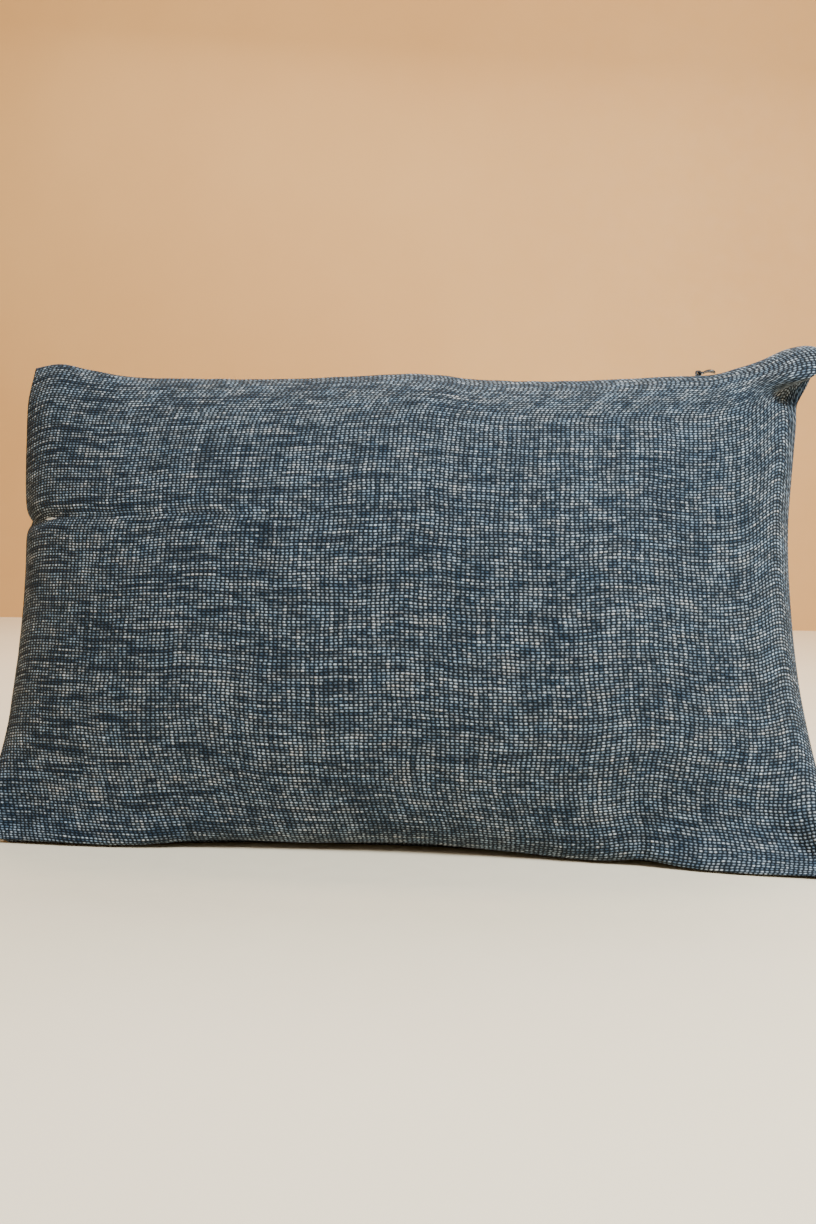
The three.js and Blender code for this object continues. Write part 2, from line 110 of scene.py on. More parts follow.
# Where the lower seam lies in front of the cushion's middle plane, and how far over the floor
SEAM_FORWARD = [
    (-1, 0.036), (-0.8, 0.036), (-0.55, 0.031), (-0.28, 0.021), (0.1, 0.019), (0.3, 0.022),
    (0.52, 0.032), (0.8, 0.05), (1, 0.056),
]
SEAM_LIFT = [
    (-1, 0.002), (-0.86, 0.001), (-0.62, 0.0012), (-0.5, 0.0045), (-0.2, 0.0035), (0.05, 0.0055),
    (0.28, 0.0025), (0.5, 0.001), (0.58, 0.0035), (0.66, 0.001), (1, 0.001),
]

UP = np.array([0, math.sin(LEAN), math.cos(LEAN)])
OUT = np.array([0, -math.cos(LEAN), math.sin(LEAN)])
coil_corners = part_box("zip_coil_front")
coil_middle = np.array((coil_corners[0] + coil_corners[1]) / 2)
ORIGIN = coil_middle - UP * ZIP_LINE - OUT * COIL_SPACING
FLOOR_HEIGHT = ORIGIN[2]


def to_world(points):
    return ORIGIN + points[..., :1] * [1, 0, 0] + points[..., 1:2] * UP + points[..., 2:] * OUT


def through(knots, at):
    """A smooth curve through the knots (place, value), read at each place."""
    place, value = np.array(knots, float).T
    slope = np.gradient(value, place)
    k = np.clip(np.searchsorted(place, at) - 1, 0, len(place) - 2)
    step = place[k + 1] - place[k]
    u = np.clip((at - place[k]) / step, 0, 1)
    start = (1 + 2 * u) * (1 - u) ** 2 * value[k] + u * (1 - u) ** 2 * step * slope[k]
    end = u * u * (3 - 2 * u) * value[k + 1] - u * u * (1 - u) * step * slope[k + 1]
    return start + end


def smoothstep(x, low, high):
    u = np.clip((x - low) / (high - low), 0, 1)
    return u * u * (3 - 2 * u)


def waves(u, v, seed, count=5):
    """Smooth uneven ripples of unit size, the same each time for one seed."""
    rng = np.random.default_rng(seed)
    total = np.zeros(np.broadcast(u, v).shape)
    for _ in range(count):
        turn = rng.uniform(0, 2 * math.pi)
        pace = rng.uniform(0.6, 1.6)
        total += np.sin(pace * (math.cos(turn) * u + math.sin(turn) * v) + rng.uniform(0, 2 * math.pi))
    return total / count


# ---- The form of the filled cover ----

def floor_line(z):
    return -(FLOOR_HEIGHT + z * math.sin(LEAN)) / math.cos(LEAN)


def outline(s, t):
    half = np.where(s < 0, through(LEFT_SIDE, t), through(RIGHT_SIDE, t))
    # The left side is pinched in a little above its middle
    return half - np.where(s < 0, PINCH_DEPTH, 0) * np.exp(-np.abs(t - PINCH_HEIGHT) / PINCH_REACH)


def fullness(s, t, side):
    across = (1 - np.abs(s) ** 2.6) ** 0.6
    upper = (1 - np.clip(t, 0, 1) ** 2.2) ** 0.78
    low = np.clip(-t, 0, 1)
    lower = (1 - low ** 3) ** 0.63 if side > 0 else (1 - low ** 3.2) ** 0.36
    return across * np.where(t > 0, upper, lower)


def crease(x, y, start, end, half_width, depth):
    """A straight soft fold from start to end, deepest at start, as a depth at each point."""
    start, end = np.array(start), np.array(end)
    along = end - start
    length = np.hypot(*along)
    along = along / length
    dx, dy = x - start[0], y - start[1]
    run = (dx * along[0] + dy * along[1]) / length
    off = -dx * along[1] + dy * along[0]
    fade = np.where(run < 0, np.exp(-(run * length / half_width) ** 2), (1 - smoothstep(run, 0, 1)))
    return depth * fade * np.exp(-(off / half_width) ** 2)


def skin(s, t, side):
    """Points of the cover's outer face before the cloth's own folds are added."""
    x = s * outline(s, t)
    forward = through(SEAM_FORWARD, s) * smoothstep(-t, 0.45, 1)
    seam_y = floor_line(through(SEAM_FORWARD, s)) + through(SEAM_LIFT, s) / math.cos(LEAN)
    bottom = -seam_y
    if side < 0:
        share = np.maximum(smoothstep(np.abs(s), 0.84, 1), smoothstep(-t, 0.985, 1))
        bottom = BOTTOM_EDGE * (1 - share) + bottom * share
    y = np.where(t > 0, t * through(TOP_SIDE, s), t * bottom)
    from_edge = np.minimum((1 - np.abs(s)) * HALF_WIDTH, (1 - np.abs(t)) * TOP_EDGE)
    gap = SEAM_HALF_GAP + (ZIP_HALF_SLOT - SEAM_HALF_GAP) * smoothstep(t, 0.999, 1) * smoothstep(
        -np.abs(x), -ZIP_HALF_LENGTH - 0.006, -ZIP_HALF_LENGTH)
    bulk = EDGE_BULK * (1 - np.exp(-from_edge / EDGE_BULK_REACH))
    depth = FRONT_DEPTH if side > 0 else BACK_DEPTH
    swelling = gap + bulk + depth * fullness(s, t, side)
    swelling = np.maximum(swelling + relief(x, y, s, t, from_edge, side), gap + 0.35 * bulk)
    z = forward * np.exp(-from_edge / SEAM_FORWARD_REACH) + side * swelling
    if side > 0:
        # The right ear's ridge hangs a little over the fold below it
        hang = EAR_HANG * np.maximum(ear_fold(x, y), 0) * (1 - np.exp(-(from_edge / 0.006) ** 2))
        x, y = x + hang * 0.55, y - hang * 0.84
    y = np.maximum(y, floor_line(z))
    return np.stack([x, y, z], -1)


def relief(x, y, s, t, from_edge, side):
    """Dents, ridges and small waves over the plain swelling, as a height over it."""
    inside = 1 - np.exp(-(from_edge / 0.012) ** 2)
    lumps = 0.0011 * waves(x / 0.045, y / 0.045, 11 if side > 0 else 12)
    lumps = lumps + 0.0005 * waves(x / 0.018, y / 0.02, 21 if side > 0 else 22)
    height = inside * lumps
    # Puckers run in from the seams, where the longer flat edge is gathered
    by_side = np.exp(-(1 - np.abs(s)) * HALF_WIDTH / 0.014)
    by_end = np.exp(-(1 - np.abs(t)) * TOP_EDGE / 0.014)
    pucker_side = by_side * waves(y / 0.0042, x / 0.05, 31 if side > 0 else 32, 4)
    pucker_end = by_end * waves(x / 0.0045, y / 0.05, 41 if side > 0 else 42, 4)
    edge_fade = 1 - np.exp(-(from_edge / 0.003) ** 2)
    height = height + PUCKER_DEPTH * edge_fade * (pucker_side + pucker_end)
    if side < 0:
        return height
    folds = ear_fold(x, y)
    # The pinch in the left side, then the creases over the floor and the hump under the top edge
    folds = folds - crease(x, y, (-0.29, 0.0625), (-0.222, 0.066), 0.0038, 0.0048)
    folds = folds - crease(x, y, (0.174, -0.168), (0.172, -0.128), 0.003, 0.003)
    folds = folds - crease(x, y, (-0.147, -0.168), (-0.15, -0.14), 0.004, 0.0025)
    folds = folds + crease(x, y, (0.008, 0.178), (0.014, 0.1), 0.011, 0.0016)
    folds = folds - crease(x, y, (0.045, 0.178), (0.05, 0.12), 0.014, 0.0012)
    folds = folds - crease(x, y, (-0.2, -0.15), (-0.12, -0.155), 0.0035, 0.0012)
    return height + edge_fade * folds


def ear_fold(x, y):
    """The right ear's ridge, which falls gently to the top edge and steeply into a fold below it."""
    root, tip = np.array(EAR_ROOT), np.array(EAR_TIP)
    along = tip - root
    length = np.hypot(*along)
    along = along / length
    dx, dy = x - root[0], y - root[1]
    run = (dx * along[0] + dy * along[1]) / length
    below = dx * along[1] - dy * along[0]
    ridge = np.where(below < 0, np.exp(-(below / 0.012) ** 2), 1 - smoothstep(below, 0, 0.013))
    valley = np.exp(-((below - 0.0165) / 0.0055) ** 2)
    return smoothstep(run, 0.05, 0.65) * (EAR_RIDGE * ridge - EAR_VALLEY * valley)


def crowded(count):
    return np.sin(CROWDING * (2 * np.arange(count + 1) / count - 1)) / math.sin(CROWDING)


def skin_grid(side):
    s, t = np.meshgrid(crowded(COLUMNS), crowded(ROWS))
    s[:, 0], s[:, -1], t[0], t[-1] = -1, 1, -1, 1
    return skin(s, t, side)


def normals_of(grid, side):
    across = np.gradient(grid, axis=1)
    up = np.gradient(grid, axis=0)
    normal = np.cross(across, up) * side
    return normal / np.maximum(np.linalg.norm(normal, axis=-1, keepdims=True), 1e-12)


def run_along(grid, axis):
    """The distance from the grid's first point to each point, along one axis of the grid."""
    step = np.linalg.norm(np.diff(grid, axis=axis), axis=-1)
    return np.insert(np.cumsum(step, axis=axis), 0, 0, axis=axis)


def flat_coordinates(grid):
    """Where each point lies on the flat cut panel, from its distance along the filled form."""
    def share(axis):
        run = run_along(grid, axis)
        total = np.take(run, [-1], axis=axis)
        return blurred(run / total - 0.5, 40, (1 - axis,))
    return np.stack([share(1) * FLAT_WIDTH, share(0) * FLAT_HEIGHT], -1)


# ---- Turning grids into meshes ----

def mesh_object(name, points, faces, uvs=None, smooth=True):
    """An object whose uvs, one for each point, are kept in the map that the materials read."""
    data = bpy.data.meshes.new(name)
    data.from_pydata(to_world(np.asarray(points, float)).tolist(), [], [list(face) for face in faces])
    if uvs is not None:
        layer = data.uv_layers.new(name="cloth")
        corner = np.zeros(len(data.loops), np.int32)
        data.loops.foreach_get("vertex_index", corner)
        layer.data.foreach_set("uv", np.asarray(uvs, np.float32)[corner].ravel())
    data.polygons.foreach_set("use_smooth", np.full(len(data.polygons), smooth))
    data.update()
    made = bpy.data.objects.new(name, data)
    bpy.context.scene.collection.objects.link(made)
    return made


def grid_faces(rows, columns, start=0, flipped=False):
    index = start + np.arange(rows * columns).reshape(rows, columns)
    quads = np.stack([index[:-1, :-1], index[:-1, 1:], index[1:, 1:], index[1:, :-1]], -1).reshape(-1, 4)
    return quads[:, ::-1] if flipped else quads


def border_of(index):
    return np.concatenate([index[0, :-1], index[:-1, -1], index[-1, :0:-1], index[:0:-1, 0]])


def rim_of(rows, columns):
    return border_of(np.arange(rows * columns).reshape(rows, columns))


def shell(name, outer, inner, side):
    """A closed sheet of cloth between two grids."""
    rows, columns = outer.shape[:2]
    count = rows * columns
    flat = flat_coordinates(outer).reshape(-1, 2)
    faces = [grid_faces(rows, columns, 0, side < 0), grid_faces(rows, columns, count, side > 0)]
    index = np.arange(count).reshape(rows, columns)
    a = border_of(index)
    b = np.roll(a, -1)
    rim = np.stack([a, a + count, b + count, b], -1)
    faces.append(rim[:, ::-1] if side < 0 else rim)
    points = np.concatenate([outer.reshape(-1, 3), inner.reshape(-1, 3)])
    return mesh_object(name, points, np.concatenate(faces), np.concatenate([flat, flat]))


def from_seams(grid):
    """How far each point is along the cloth from the left, right, lower and upper seams."""
    across, up = run_along(grid, 1), run_along(grid, 0)
    return np.stack([across, across[:, -1:] - across, up, up[-1:] - up])


def draw_in(grid):
    """Pulls the cloth in along the seams, where the panels are sewn together and turned inside."""
    distance = from_seams(grid)
    pull = SEAM_GROOVE * np.exp(-(distance / SEAM_GROOVE_REACH) ** 2)
    over_zip = smoothstep(-np.abs(grid[..., 0]), -ZIP_HALF_LENGTH - 0.01, -ZIP_HALF_LENGTH + 0.01)
    pull[3] += over_zip * (ZIP_GROOVE * np.exp(-(distance[3] / ZIP_GROOVE_REACH) ** 2) - pull[3])
    shift = np.stack([pull[0] - pull[1], pull[2] - pull[3], np.zeros(pull[0].shape)], -1)
    return grid + shift


# ---- The cloth's own folds ----

def closed_mesh(name, front, back):
    """One closed mesh of both panels, sharing the points of the seam between them."""
    rows, columns = front.shape[:2]
    count = rows * columns
    index = np.arange(count).reshape(rows, columns)
    is_border = np.zeros((rows, columns), bool)
    is_border[0] = is_border[-1] = is_border[:, 0] = is_border[:, -1] = True
    back_index = np.where(is_border, index, 0)
    back_index[~is_border] = count + np.arange((~is_border).sum())
    joined = front.copy()
    joined[is_border] = (front[is_border] + back[is_border]) / 2
    points = np.concatenate([joined.reshape(-1, 3), back[~is_border]])
    faces = [np.stack([i[:-1, :-1], i[:-1, 1:], i[1:, 1:], i[1:, :-1]], -1).reshape(-1, 4)
             for i in (index, back_index)]
    made = mesh_object(name, points, np.concatenate([faces[0], faces[1][:, ::-1]]))
    return made, index, back_index


def cloth_folds(front, back):
    """How a filled cover sewn from two flat panels folds, as a shift of each point of the two grids."""
    made, front_index, back_index = closed_mesh("folding_cover", front, back)
    made.shape_key_add(name="Basis")
    flat_key = made.shape_key_add(name="cut flat")
    start = np.array([v.co for v in made.data.vertices])
    flat = start.copy()
    for grid, index in ((back, back_index), (front, front_index)):
        place = flat_coordinates(grid)
        flat[index] = to_world(np.concatenate([place, np.zeros((*place.shape[:2], 1))], -1))
    flat_key.data.foreach_set("co", flat.ravel())
    hold = made.vertex_groups.new(name="filling")
    hold.add(list(range(len(start))), 0.35, "REPLACE")
    modifier = made.modifiers.new("Cloth", "CLOTH")
    settings = modifier.settings
    settings.rest_shape_key = flat_key
    settings.quality = 6
    settings.mass = 0.12
    settings.tension_stiffness = settings.compression_stiffness = 25
    settings.shear_stiffness = 10
    settings.bending_stiffness = 0.4
    settings.vertex_group_mass = "filling"
    settings.pin_stiffness = 0.6
    settings.use_pressure = True
    settings.uniform_pressure_force = 4
    settings.effector_weights.gravity = 0
    settings.air_damping = 2
    scene = bpy.context.scene
    for step in range(1, FOLDING_FRAMES + 1):
        scene.frame_set(step)
    evaluated = made.evaluated_get(bpy.context.evaluated_depsgraph_get())
    ended = np.array([v.co for v in evaluated.data.vertices])
    scene.frame_set(1)
    bpy.data.objects.remove(made)
    shift = ended - start
    local = np.stack([shift[:, 0], shift @ UP, shift @ OUT], -1)
    return local[front_index], local[back_index]


def blurred(field, times, axes=(0, 1)):
    for _ in range(times):
        for axis in axes:
            padded = np.concatenate([np.take(field, [0], axis), field, np.take(field, [-1], axis)], axis)
            length = field.shape[axis]
            low, mid, high = (np.take(padded, np.arange(k, k + length), axis) for k in (0, 1, 2))
            field = (low + 2 * mid + high) / 4
    return field


def refined(field):
    """The field with a point added between each two."""
    for axis in (0, 1):
        halves = (np.take(field, range(1, field.shape[axis]), axis)
                  + np.take(field, range(field.shape[axis] - 1), axis)) / 2
        shape = list(field.shape)
        shape[axis] = 2 * shape[axis] - 1
        made = np.zeros(shape)
        picked = [slice(None)] * field.ndim
        picked[axis] = slice(0, None, 2)
        made[tuple(picked)] = field
        picked[axis] = slice(1, None, 2)
        made[tuple(picked)] = halves
        field = made
    return blurred(field, 1)


def only_folds(shift):
    """The folds alone: the shift less its slow part, with no point moved further than the limit."""
    folds = shift - blurred(shift, FOLD_SPREAD)
    size = np.linalg.norm(folds, axis=-1, keepdims=True)
    return folds * FOLD_LIMIT * np.tanh(size / FOLD_LIMIT) / np.maximum(size, 1e-9)


grids = {1: draw_in(skin_grid(1)), -1: draw_in(skin_grid(-1))}
shifts = cloth_folds(grids[1][::2, ::2], grids[-1][::2, ::2])
folds = [refined(only_folds(shift)) for shift in shifts]
# Along the seam both panels move together, so that it stays closed
seam_shift = (folds[0] - folds[1]) / 2
rim = rim_of(ROWS + 1, COLUMNS + 1)
for side, fold in zip((1, -1), folds):
    grids[side] = grids[side] + fold
    grids[side].reshape(-1, 3)[rim] -= side * seam_shift.reshape(-1, 3)[rim]
for grid in grids.values():
    grid[..., 1] = np.maximum(grid[..., 1], floor_line(grid[..., 2]))


# ---- The cover and the pad in it ----

def soft_piece(made, node, material):
    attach(made, "cushion")
    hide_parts(node)
    made.data.materials.append(material)
    return made


def sampled(field, columns, rows):
    """The grid's values read at fractional columns and rows."""
    low_c = np.clip(np.floor(columns).astype(int), 0, COLUMNS - 1)
    low_r = np.clip(np.floor(rows).astype(int), 0, ROWS - 1)
    c, r = (columns - low_c)[..., None], (rows - low_r)[..., None]
    lower = field[low_r, low_c] * (1 - c) + field[low_r, low_c + 1] * c
    upper = field[low_r + 1, low_c] * (1 - c) + field[low_r + 1, low_c + 1] * c
    return lower * (1 - r) + upper * r


def pad_layer(side, offset, step):
    """The pad's layer inside the cover: a smaller outline, closing towards the cover's middle at its edge."""
    s, t = np.meshgrid(crowded(COLUMNS), crowded(ROWS))
    s_in = s * (1 - PAD_SIDE_INSET / HALF_WIDTH * np.abs(s) ** 6)
    t_in = t * (1 - np.where(t > 0, PAD_TOP_INSET, PAD_LOW_INSET) / TOP_EDGE * np.abs(t) ** 6)
    columns = np.interp(s_in, crowded(COLUMNS), np.arange(COLUMNS + 1))
    rows = np.interp(t_in, crowded(ROWS), np.arange(ROWS + 1))
    middle = sampled((grids[1] + grids[-1]) / 2, columns, rows)
    half = sampled((grids[side] - grids[-side]) / 2 - offset * normals_of(grids[side], side), columns, rows)
    from_edge = np.minimum((1 - np.abs(s)) * HALF_WIDTH, (1 - np.abs(t)) * TOP_EDGE)
    closing = 1 - np.exp(-from_edge / 0.004)
    layer = middle + half * closing[..., None] + side * SEAM_HALF_GAP * np.array([0, 0, 1.0])
    return layer[::step, ::step]


def evenly(path, pitch):
    """Points along a path at even distances, and the way the path runs at each."""
    run = run_along(path, 0)
    at = np.arange(pitch / 2, run[-1], pitch)
    points = np.stack([np.interp(at, run, path[:, k]) for k in range(3)], -1)
    ahead = np.stack([np.interp(at + pitch / 4, run, path[:, k]) for k in range(3)], -1) - points
    return points, ahead / np.maximum(np.linalg.norm(ahead, axis=1, keepdims=True), 1e-9)


def tubes(name, lines, radius, sides=6):
    """Thread along each line of points, with its ends closed, as one mesh."""
    lines = np.asarray(lines, float)
    count, rings = lines.shape[:2]
    run = np.gradient(lines, axis=1)
    run /= np.maximum(np.linalg.norm(run, axis=-1, keepdims=True), 1e-12)
    helper = np.where(np.abs(run[..., 2:]) > 0.8, [1.0, 0, 0], [0, 0, 1.0])
    first = np.cross(run, helper)
    first /= np.linalg.norm(first, axis=-1, keepdims=True)
    second = np.cross(run, first)
    turn = np.arange(sides) * 2 * math.pi / sides
    taper = np.ones(rings)
    taper[0] = taper[-1] = 0.35
    size = radius * taper[None, :, None, None]
    ring = lines[:, :, None] + size * (np.cos(turn)[:, None] * first[:, :, None]
                                       + np.sin(turn)[:, None] * second[:, :, None])
    index = np.arange(count * rings * sides).reshape(count, rings, sides)
    after = np.roll(index, -1, 2)
    walls = np.stack([index[:, :-1], index[:, 1:], after[:, 1:], after[:, :-1]], -1).reshape(-1, 4)
    length = run_along(lines, 1)
    uvs = np.stack(np.broadcast_arrays(length[:, :, None], turn * radius), -1).reshape(-1, 2)
    points = ring.reshape(-1, 3)
    caps = [*index[:, 0].tolist(), *index[:, -1, ::-1].tolist()]
    return mesh_object(name, points, walls.tolist() + caps, uvs)


def stitches(name, path, pitch, length, radius, sink, slant=0.0):
    """Separate stitches along a path, each arched over its middle and sinking at both ends."""
    points, ahead = evenly(path, pitch)
    outward = np.cross(ahead, [0, 0, 1.0])
    outward /= np.maximum(np.linalg.norm(outward, axis=1, keepdims=True), 1e-9)
    place = np.linspace(-0.5, 0.5, 6)
    arch = 1 - (2 * np.abs(place)) ** 2.5
    lines = (points[:, None] + place[:, None] * length * ahead[:, None]
             + (arch[:, None] - 1) * sink * outward[:, None]
             + place[:, None] * slant * np.array([0, 0, 1.0]))
    return tubes(name, lines, radius)


# ---- Materials ----

class Nodes:
    """A short way to write a material's node tree."""

    def __init__(self, name):
        self.material = bpy.data.materials.new(name)
        self.material.use_nodes = True
        self.tree = self.material.node_tree
        self.shader = self.tree.nodes["Principled BSDF"]

    def add(self, kind, **settings):
        node = self.tree.nodes.new(kind)
        for key, value in settings.items():
            setattr(node, key, value)
        return node

    def plug(self, value, socket):
        if isinstance(value, bpy.types.NodeSocket):
            self.tree.links.new(value, socket)
        else:
            socket.default_value = value

    def math(self, operation, *values, clamp=False):
        node = self.add("ShaderNodeMath", operation=operation, use_clamp=clamp)
        for value, socket in zip(values, node.inputs):
            self.plug(value, socket)
        return node.outputs[0]

    def vector(self, x, y, z=0.0):
        node = self.add("ShaderNodeCombineXYZ")
        for value, socket in zip((x, y, z), node.inputs):
            self.plug(value, socket)
        return node.outputs[0]

    def uv(self):
        node = self.add("ShaderNodeUVMap", uv_map="cloth")
        split = self.add("ShaderNodeSeparateXYZ")
        self.tree.links.new(node.outputs[0], split.inputs[0])
        return split.outputs[0], split.outputs[1]

    def noise(self, place, scale=1.0, detail=2.0, roughness=0.5, distortion=0.0):
        node = self.add("ShaderNodeTexNoise")
        self.plug(place, node.inputs["Vector"])
        node.inputs["Scale"].default_value = scale
        node.inputs["Detail"].default_value = detail
        node.inputs["Roughness"].default_value = roughness
        node.inputs["Distortion"].default_value = distortion
        return node.outputs[0]

    def white(self, place):
        node = self.add("ShaderNodeTexWhiteNoise", noise_dimensions="3D")
        self.plug(place, node.inputs["Vector"])
        return node.outputs[0]

    def ramp(self, value, stops, interpolation="LINEAR"):
        node = self.add("ShaderNodeValToRGB")
        node.color_ramp.interpolation = interpolation
        while len(node.color_ramp.elements) < len(stops):
            node.color_ramp.elements.new(0.5)
        for element, (place, colour) in zip(node.color_ramp.elements, stops):
            element.position = place
            element.color = (*colour, 1)
        self.plug(value, node.inputs[0])
        return node.outputs[0]

    def mix(self, share, a, b, blend="MIX"):
        node = self.add("ShaderNodeMix", data_type="RGBA", blend_type=blend)
        self.plug(share, node.inputs[0])
        self.plug(a, node.inputs[6])
        self.plug(b, node.inputs[7])
        return node.outputs[2]

    def remap(self, value, low, high, to_low=0.0, to_high=1.0):
        node = self.add("ShaderNodeMapRange")
        self.plug(value, node.inputs[0])
        for number, socket in zip((low, high, to_low, to_high), node.inputs[1:5]):
            socket.default_value = number
        return node.outputs[0]

    def bump(self, height, distance, strength=1.0, normal=None):
        node = self.add("ShaderNodeBump")
        node.inputs["Strength"].default_value = strength
        node.inputs["Distance"].default_value = distance
        self.plug(height, node.inputs["Height"])
        if normal is not None:
            self.plug(normal, node.inputs["Normal"])
        return node.outputs[0]

    def finish(self, colour, roughness, normal, **sockets):
        self.plug(colour, self.shader.inputs["Base Color"])
        self.plug(roughness, self.shader.inputs["Roughness"])
        self.plug(normal, self.shader.inputs["Normal"])
        for name, value in sockets.items():
            self.plug(value, self.shader.inputs[name.replace("_", " ")])
        return self.material


def linear(red, green, blue):
    """A display colour, 0 to 255, as the shader's linear colour."""
    def one(value):
        value = value / 255
        return value / 12.92 if value <= 0.04045 else ((value + 0.055) / 1.055) ** 2.4
    return one(red), one(green), one(blue)


WARP_PITCH = 0.0032
WEFT_PITCH = 0.0022


def chenille_cloth():
    """A coarse weave of uneven chenille yarn: short light floats in columns over near-black, which is partly
    the dark yarn under them and partly painted shade in the gaps between them.
    """
    n = Nodes("cover_cloth")
    flat_u, flat_v = n.uv()
    place = n.vector(flat_u, flat_v)
    drift = n.math("SUBTRACT", n.noise(place, 30, 2), 0.5)
    sway = n.math("SUBTRACT", n.noise(n.vector(flat_v, flat_u, 4), 30, 2), 0.5)
    u = n.math("ADD", flat_u, n.math("MULTIPLY", drift, 0.004))
    v = n.math("ADD", flat_v, n.math("MULTIPLY", sway, 0.003))
    rows = n.math("DIVIDE", v, WEFT_PITCH)
    row = n.math("FLOOR", rows)
    in_row = n.math("SUBTRACT", n.math("FRACT", rows), 0.5)
    # The floats stand in columns, each row set a little to one side of the next
    shift = n.math("MULTIPLY", n.math("MODULO", n.math("ADD", row, 1000), 2), 0.14)
    floats = n.math("ADD", n.math("DIVIDE", u, WARP_PITCH), shift)
    column = n.math("FLOOR", floats)
    in_float = n.math("SUBTRACT", n.math("FRACT", floats), 0.5)
    own = n.white(n.vector(column, row, 3))
    other = n.white(n.vector(row, column, 8))
    across = n.math("COSINE", n.math("MULTIPLY", in_row, math.pi * 0.98))
    along = n.math("COSINE", n.math("MULTIPLY", in_float, math.pi * 0.98))
    reach = n.remap(other, 0, 1, 1.0, 2.4)
    height = n.math("MULTIPLY", n.math("POWER", across, 1.9), n.math("POWER", along, reach), clamp=True)
    # Each weft yarn is slubbed along its length in its own way; each warp end has a tone of its own
    pile = n.noise(place, 2400, 1)
    slub = n.noise(n.vector(n.math("MULTIPLY", flat_u, 85), n.math("MULTIPLY", row, 7.3), 5), 1, 2, 0.6)
    streak = n.noise(n.vector(n.math("MULTIPLY", flat_u, 24), n.math("MULTIPLY", row, 1.7), 9), 1, 2, 0.6)
    end = n.noise(n.vector(n.math("MULTIPLY", column, 5.1), n.math("MULTIPLY", flat_v, 22), 2), 1, 1)
    patch = n.noise(n.vector(n.math("MULTIPLY", flat_u, 12), n.math("MULTIPLY", flat_v, 26), 7), 1, 3, 0.6)
    tone = n.math("MULTIPLY", n.math("SUBTRACT", slub, 0.5), 0.5)
    for value, share in ((streak, 0.5), (end, 0.38), (patch, 0.2), (own, 0.24), (pile, 0.25)):
        tone = n.math("ADD", tone, n.math("MULTIPLY", n.math("SUBTRACT", value, 0.5), share))
    tone = n.math("ADD", tone, 0.57, clamp=True)
    light_yarn = n.ramp(tone, [
        (0.0, (0.006, 0.016, 0.03)), (0.34, (0.04, 0.068, 0.1)), (0.5, (0.15, 0.2, 0.255)),
        (0.65, (0.36, 0.44, 0.52)), (0.9, (0.88, 0.94, 1)),
    ])
    # Some lengths of yarn are browner and some bluer
    dye = n.noise(n.vector(n.math("MULTIPLY", flat_u, 55), n.math("MULTIPLY", flat_v, 120), 11), 1, 2)
    tint = n.ramp(dye, [(0.34, (0.86, 0.97, 1.06)), (0.5, (1, 1, 1)), (0.68, (1.08, 0.98, 0.9))])
    light_yarn = n.mix(1.0, light_yarn, tint, "MULTIPLY")
    # Long dark lengths of weft, which are the cloth's own; their share growing towards the left end of the
    # piece is painted shade, a left side darker than the right
    far = n.noise(n.vector(n.math("MULTIPLY", flat_u, 19), n.math("MULTIPLY", row, 2.3), 21), 1, 2, 0.6)
    # Painted shade: the dark weft's share falls from the left end to the right, so the left side reads darker
    painted_left_shade_share = n.remap(flat_u, -0.3, 0.3, 1.0, 0.35)
    dark = n.math("MULTIPLY", n.remap(far, 0.53, 0.6), painted_left_shade_share)
    light_yarn = n.mix(dark, light_yarn, (0.02, 0.042, 0.075, 1))
    # The near-black between the floats: partly the dark yarn under them, partly painted shade in the gaps,
    # mixed in where the floats are low
    ground_and_gap_shade = (0.002, 0.005, 0.009, 1)
    float_cover_and_gap_shade = n.math("POWER", height, 1.3)
    colour = n.mix(float_cover_and_gap_shade, ground_and_gap_shade, light_yarn)
    relief_height = n.math("ADD", height, n.math("MULTIPLY", pile, 0.3))
    relief_height = n.math("ADD", relief_height, n.math("MULTIPLY", own, 0.25))
    normal = n.bump(relief_height, 0.0006)
    roughness = n.remap(tone, 0, 1, 0.95, 0.7)
    return n.finish(colour, roughness, normal, Sheen_Weight=0.06, Sheen_Roughness=0.5,
                    Specular_IOR_Level=0.15)


def casing_cloth():
    """A fine plain weave of undyed yarn."""
    n = Nodes("casing_cloth")
    u, v = n.uv()
    across = n.math("SINE", n.math("MULTIPLY", u, 2 * math.pi / 0.0008))
    up = n.math("SINE", n.math("MULTIPLY", v, 2 * math.pi / 0.0008))
    weave = n.math("MULTIPLY", across, up)
    streak = n.noise(n.vector(n.math("MULTIPLY", u, 30), n.math("MULTIPLY", v, 900)), 1, 2)
    tone = n.math("ADD", n.math("MULTIPLY", weave, 0.25), streak)
    colour = n.ramp(tone, [(0.2, linear(206, 202, 192)), (0.8, linear(242, 240, 233))])
    return n.finish(colour, n.remap(streak, 0.3, 0.7, 0.85, 0.95), n.bump(weave, 0.0001), Sheen_Weight=0.1)


def sewing_thread(name, dark, light):
    """Two plies twisted together."""
    n = Nodes(name)
    u, v = n.uv()
    twist = n.math("SINE", n.math("ADD", n.math("MULTIPLY", u, 2 * math.pi / 0.0006),
                                  n.math("MULTIPLY", v, 6000)))
    hair = n.noise(n.vector(u, v), 3000, 2)
    tone = n.math("ADD", n.math("MULTIPLY", twist, 0.25), hair)
    colour = n.ramp(tone, [(0.25, dark), (0.75, light)])
    return n.finish(colour, n.remap(hair, 0.3, 0.7, 0.6, 0.85), n.bump(tone, 0.0001), Sheen_Weight=0.2)


def tape_cloth():
    """The zip tape's close herringbone."""
    n = Nodes("zip_tape")
    u, v = n.uv()
    side = n.math("PINGPONG", v, 0.0022)
    slant = n.math("SINE", n.math("MULTIPLY", n.math("ADD", u, side), 2 * math.pi / 0.0007))
    grain = n.noise(n.vector(u, v), 900, 2)
    tone = n.math("ADD", n.math("MULTIPLY", slant, 0.3), grain)
    colour = n.ramp(tone, [(0.2, linear(34, 46, 58)), (0.8, linear(72, 86, 100))])
    return n.finish(colour, n.remap(grain, 0.3, 0.7, 0.75, 0.9), n.bump(tone, 0.00015), Sheen_Weight=0.1)


